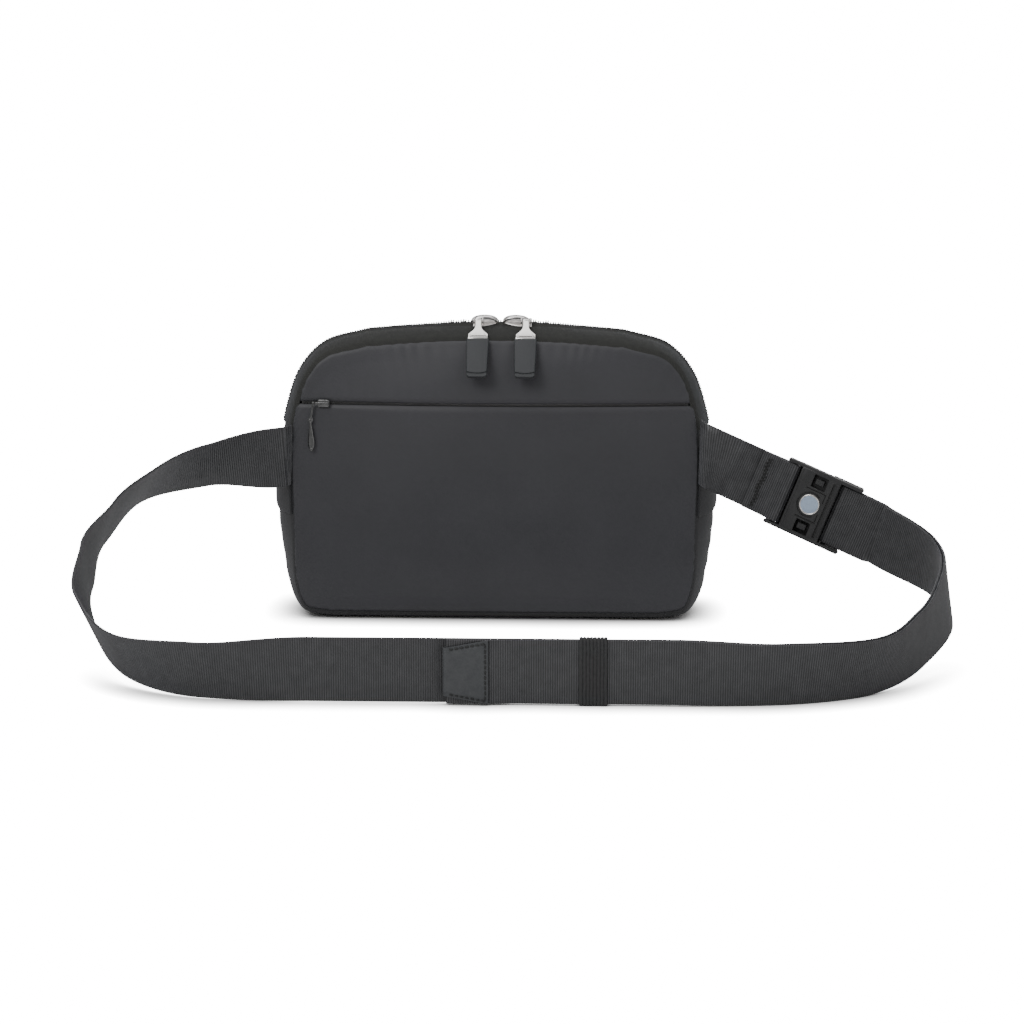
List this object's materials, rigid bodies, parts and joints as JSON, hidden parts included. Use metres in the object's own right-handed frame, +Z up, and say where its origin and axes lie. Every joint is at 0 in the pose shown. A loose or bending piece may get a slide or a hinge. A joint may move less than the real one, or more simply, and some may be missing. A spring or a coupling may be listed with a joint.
{
  "type": "belt bag",
  "caption": "Soft rectangular belt bag with a zipped main compartment, a zipped front pocket, a webbing waist strap and a magnetic snap buckle.",
  "frame": {"origin": "centre of the bag's flat base, on the surface it stands on", "axes": "+X to the right of the front panel, -Y out of the front panel, +Z up"},
  "size_m": [0.5214, 0.2713, 0.1899],
  "materials": {
    "shell_fabric": "fine plain weave nylon, matte with a soft sheen",
    "zip_tape": "twill weave polyester tape",
    "webbing": "ribbed polyester webbing with a satin face",
    "nickel": "polished nickel plate",
    "grip_rubber": "soft-touch moulded rubber",
    "tab_leather": "fine grained leather with a soft gloss",
    "buckle_plastic": "moulded acetal with a low gloss",
    "magnet_steel": "smooth plated steel",
    "zip_coil": "nylon coil",
    "elastic": "ribbed elastic",
    "lining_cloth": "thin plain lining cloth"
  },
  "bodies": {
    "bag": {"front_upper_panel": "shell_fabric", "front_pocket_panel": "shell_fabric", "back_panel": "shell_fabric", "main_zip_tape_front": "zip_tape", "main_zip_tape_rear": "zip_tape", "main_zip_coil": "zip_coil", "side_and_base_gusset": "shell_fabric", "side_patch_left": "shell_fabric", "side_patch_right": "shell_fabric", "main_lining": "lining_cloth", "pocket_lining": "lining_cloth", "pocket_zip_coil": "zip_coil", "pocket_zip_tape": "zip_tape", "strap_left": "webbing", "strap_front": "webbing", "strap_right": "webbing", "strap_tail_right": "webbing", "strap_tail_front": "webbing", "strap_end_tab": "tab_leather", "strap_buckle_turn": "webbing", "buckle_tongue": "buckle_plastic", "buckle_magnet": "magnet_steel"},
    "main_slider_left": {"main_slider_left": "nickel"},
    "main_slider_right": {"main_slider_right": "nickel"},
    "main_pull_left": {"main_pull_plate_left": "nickel", "main_pull_grip_left": "grip_rubber"},
    "main_pull_right": {"main_pull_plate_right": "nickel", "main_pull_grip_right": "grip_rubber"},
    "pocket_slider": {"pocket_slider": "nickel"},
    "pocket_link": {"pocket_pull_link": "nickel"},
    "pocket_drop": {"pocket_pull_drop": "nickel"},
    "keeper": {"strap_keeper": "elastic"},
    "buckle_receiver": {"strap_stub": "webbing", "buckle_receiver": "buckle_plastic", "buckle_magnet_cap": "magnet_steel"}
  },
  "joints": [
    {"name": "main_slider_left_travel", "type": "hinge", "parent": "bag", "child": "main_slider_left", "pos_m": [0, 0, -0.5737], "axis": [0, -1, 0], "range_deg": [0, 2.5]},
    {"name": "main_slider_right_travel", "type": "hinge", "parent": "bag", "child": "main_slider_right", "pos_m": [0, 0, -0.5737], "axis": [0, 1, 0], "range_deg": [0, 2.1]},
    {"name": "main_pull_left_lift", "type": "hinge", "parent": "main_slider_left", "child": "main_pull_left", "pos_m": [-0.0106, -0.008, 0.18643], "axis": [-1, 0, 0], "range_deg": [0, 140]},
    {"name": "main_pull_right_lift", "type": "hinge", "parent": "main_slider_right", "child": "main_pull_right", "pos_m": [0.019, -0.008, 0.18626], "axis": [-1, 0, 0], "range_deg": [0, 140]},
    {"name": "pocket_slider_travel", "type": "hinge", "parent": "bag", "child": "pocket_slider", "pos_m": [0, 1.02973, 0.1363], "axis": [0, 0, 1], "range_deg": [0, 11]},
    {"name": "pocket_link_lift", "type": "hinge", "parent": "pocket_slider", "child": "pocket_link", "pos_m": [-0.1126, -0.02587, 0.1363], "axis": [-0.9942, 0.1074, 0], "range_deg": [0, 110]},
    {"name": "pocket_drop_swing", "type": "hinge", "parent": "pocket_link", "child": "pocket_drop", "pos_m": [-0.11425, -0.02701, 0.12548], "axis": [-0.1135, -0.984, 0.1375], "range_deg": [-20, 20]},
    {"name": "keeper_slide", "type": "slide", "parent": "bag", "child": "keeper", "axis": [1, 0, 0], "range_m": [-0.034, 0.035]},
    {"name": "buckle_swing", "type": "hinge", "parent": "bag", "child": "buckle_receiver", "pos_m": [0.127, -0.031, 0.1075], "axis": [-0.3704, 0.0131, -0.9288], "range_deg": [0, 50]}
  ]
}
